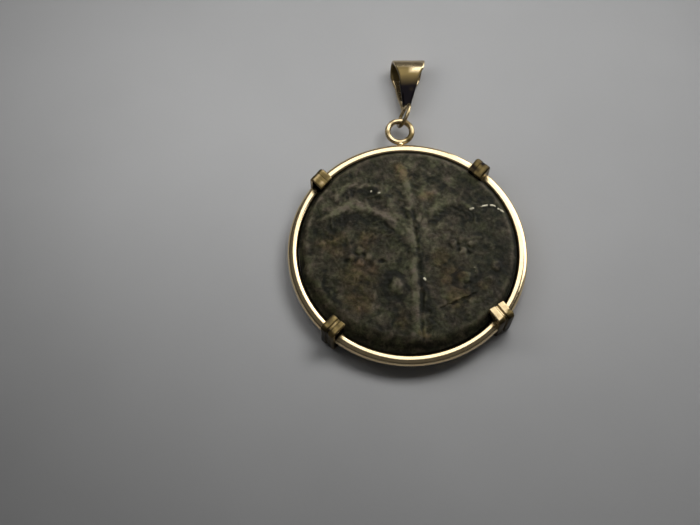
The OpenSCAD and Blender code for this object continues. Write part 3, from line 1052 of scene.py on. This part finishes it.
def add_frame():
    """Ring, four claws, loop and the solder between ring and loop."""
    shells = Shells()
    shells.add(*torus(RING_R, RING_WIRE, 300, 40, uneven=0.02, seed=31))
    for number, claw in enumerate(CLAWS):
        add_claw(shells, *claw, seed=40 + number)
    points, faces = torus(LOOP_R, LOOP_WIRE, 96, 28, uneven=0.04, seed=32)
    shells.add(points + (0, LOOP_Y, 0), faces, 0.32 + 0.5*noise(points, 0.6, 64))
    add_solder_neck(shells)
    # Painted shade under the ring and beside and under the claws, with the tarnish and painted shade of
    # the claws and the tarnish of the loop
    dirt = np.maximum(ring_dirt(shells.points), shells.dirt)
    material = gold_material("ring_gold", RING_GOLD)
    add_piece("ring_and_claws", shells.points, shells.faces, material, "frame_gold", "frame", dirt=dirt)


# Bail and link

# Half the sheet's width at shares of its length from the tips: it narrows quickly under the fold
SHEET_HALVES = [
    (0, 0.5*BAIL_TIP_W),
    (0.18, 0.235*BAIL_MID_W),
    (0.36, 0.325*BAIL_MID_W),
    (0.53, 0.375*BAIL_MID_W),
    (0.65, 0.47*BAIL_MID_W),
    (0.77, 0.49*BAIL_W),
    (0.87, 0.515*BAIL_W),
    (1, 0.54*BAIL_W),
]

# Painted dark reflection, shown as black-brown tarnish, at shares of the sheet's length from the tips: of
# the whole upper leaf under the bright crest, and of the left half of the crest
LEAF_PAINTED_DARK = [
    (0, 1.1), (0.34, 1.05), (0.44, 0.9), (0.52, 0.77), (0.58, 0.6), (0.63, 0.36),
    (0.67, 0.05), (0.75, 0.05), (0.85, 0.2),
]
CREST_LEFT_PAINTED_DARK = [(0.5, 0), (0.56, 0.66), (0.70, 0.64), (0.80, 0)]

# Share of the sheet's length at which the leaves pass into the fold, and the points up to it and
# from there to the fold's end
CREST = 0.66
LEAF_STEPS = 40
FOLD_STEPS = 36

# Rounding of the sheet's edges, the share of its half width that its inner points span, and the
# rounds in which the place of its skewed edge settles
SHEET_ROUND = 0.16
SHEET_FLAT = 0.8
EDGE_ROUNDS = 12


def table_at(table, x):
    places, values = zip(*table)
    return np.interp(x, places, values)


def along_link(rise):
    """Direction in the link's plane that rises by an angle."""
    side = sin(radians(rise))*sin(radians(LINK_LEAN))
    ahead = cos(radians(rise))
    swing = radians(LINK_TURN)
    return np.array([
        side*cos(swing) + ahead*sin(swing),
        ahead*cos(swing) - side*sin(swing),
        sin(radians(rise))*cos(radians(LINK_LEAN)),
    ])


def sheet_edge(q, side, skew):
    """Place along the fold's axis where the sheet's side lies, for a profile point q past the fold."""
    s = np.zeros_like(q)
    for _ in range(EDGE_ROUNDS):
        y = FOLD_Y + s*sin(skew) + q*cos(skew)
        s = (side*table_at(SHEET_HALVES, y/BAIL_L) + q*sin(skew))/cos(skew)
    return s


def fold_profile():
    """Side view of the sheet's outer face and its outward directions, from tip to tip. The leaves
    curve gently into a fold that is blunter on top than at its end."""
    half_t = (LINK_WIRE + 2*SHEET_T)/2
    crest_y = CREST*BAIL_L
    upper = []
    for t in np.linspace(0, 1, LEAF_STEPS, endpoint=False):
        upper.append((crest_y*t, half_t + (FOLD_R - half_t)*(t + t*t - t**3)))
    for a in np.linspace(pi/2, 0, FOLD_STEPS):
        upper.append((crest_y + (BAIL_L - crest_y)*cos(a), FOLD_R*sin(a)))
    points = np.array(upper + [(y, -z) for y, z in reversed(upper[:-1])])
    return points, left_of(np.gradient(points, axis=0))


def sheet_section():
    """Points round the sheet's section: place across it from -1 to 1, step in from its side, and depth
    under its outer face."""
    edge = rounded(SHEET_ROUND)
    flat = np.linspace(-SHEET_FLAT, SHEET_FLAT, 9)
    section = [(-1, step_in, depth) for step_in, depth in edge]
    section += [(across, 0, 0) for across in flat]
    section += [(1, step_in, depth) for step_in, depth in reversed(edge)]
    section += [(1, step_in, SHEET_T - depth) for step_in, depth in edge]
    section += [(across, 0, SHEET_T) for across in reversed(flat)]
    section += [(-1, step_in, SHEET_T - depth) for step_in, depth in reversed(edge)]
    return section


def sheet_dirt(profile, section):
    """Painted shade of the sheet: a black-brown painted dark reflection on the upper leaf under the
    bright crest and on the crest's left, partly worn painted shade on the upper leaf's right edge, and
    dark painted shade inside.
    """
    y = profile[:, 0]/BAIL_L
    z = profile[:, 1]
    across = section[:, 0]
    depth = section[:, 2]/SHEET_T
    # Painted dark reflection on the upper leaf and the crest's left half, painted shade on the inner
    # faces, and wear with painted shade on the upper leaf's right edge
    left = table_at(CREST_LEFT_PAINTED_DARK, y)*smooth((0.6 - across)/0.9)
    upper = np.maximum(table_at(LEAF_PAINTED_DARK, y), left)*(z > 0)
    inside = np.where((z < 0) & (y < 0.75), 0.3, 0.75)*smooth((depth - 0.3)/0.4)
    right_edge = 0.75*(across > 0.95)*(z > 0)*(y < 0.7)
    return np.maximum(np.maximum(upper, inside), right_edge)


def folded_sheet():
    """Points, faces and painted shade of the folded sheet, from the middle of its tips along y."""
    profile, normals = fold_profile()
    section = sheet_section()
    skew = radians(FOLD_SKEW)
    rows = []
    for across, step_in, depth in section:
        at = profile - depth*normals
        q = at[:, 0] - FOLD_Y
        right = sheet_edge(q, 1, skew)
        left = sheet_edge(q, -1, skew)
        s = (left + right)/2 + across*(right - left)/2 - np.sign(across)*step_in
        x = s*cos(skew) - q*sin(skew)
        y = FOLD_Y + s*sin(skew) + q*cos(skew)
        rows.append(np.column_stack([x, y, at[:, 1]]))
    points = ragged(np.stack(rows, axis=1).reshape(-1, 3), 0.015, 1.3, 71)
    every_profile = np.repeat(profile, len(section), axis=0)
    every_section = np.tile(np.array(section), (len(profile), 1))
    return points, capped(len(profile), len(section)), sheet_dirt(every_profile, every_section)


def add_bail():
    """Folded sheet lying on its fold's edge, and the link on its tips, which hangs in the loop."""
    place = radians(LINK_PLACE)
    hang_at = np.array([LOOP_R*sin(place), LOOP_Y + LOOP_R*cos(place), 0])
    link_at = hang_at + (LINK_R - LINK_WIRE/2 - LOOP_WIRE/2 - LINK_GAP)*along_link(LINK_RISE)
    tip_at = link_at + LINK_R*along_link(-LINK_DIP)
    rise = cos(radians(FOLD_SKEW))*sin(radians(BAIL_LEAN))
    half_h = BAIL_W/2*rise + FOLD_R*sqrt(1 - rise*rise)
    slope = degrees(asin((half_h + REST_GAP - CLAW_H - tip_at[2])/FOLD_Y))
    shells = Shells()
    points, faces, tarnish_and_shade = folded_sheet()
    stand = turn("Z", -BAIL_TURN) @ turn("X", slope) @ turn("Y", BAIL_LEAN)
    shells.add(points @ stand.T + tip_at, faces, tarnish_and_shade*(0.95 + 0.05*noise(points, 0.7, 63)))
    points, faces = torus(LINK_R, LINK_WIRE, 96, 24, uneven=0.05, seed=33)
    swing = turn("Z", -LINK_TURN) @ turn("Y", LINK_LEAN) @ turn("Y", 90)
    shells.add(points @ swing.T + link_at, faces, 0.35 + 0.5*noise(points, 0.6, 65))
    # Painted shade on the low parts of the bail and the link
    low = 0.25*smooth((-0.9 - shells.points[:, 2])/0.8)*(0.8 + 0.2*noise(shells.points, 0.5, 62))
    dirt = np.maximum(low, shells.dirt)
    material = gold_material("sheet_gold", SHEET_GOLD)
    add_piece("folded_bail", shells.points, shells.faces, material, "bail_gold", "bail", dirt=dirt)


add_camera()
add_lights()
add_world()
add_floor()
add_coin()
add_frame()
add_bail()
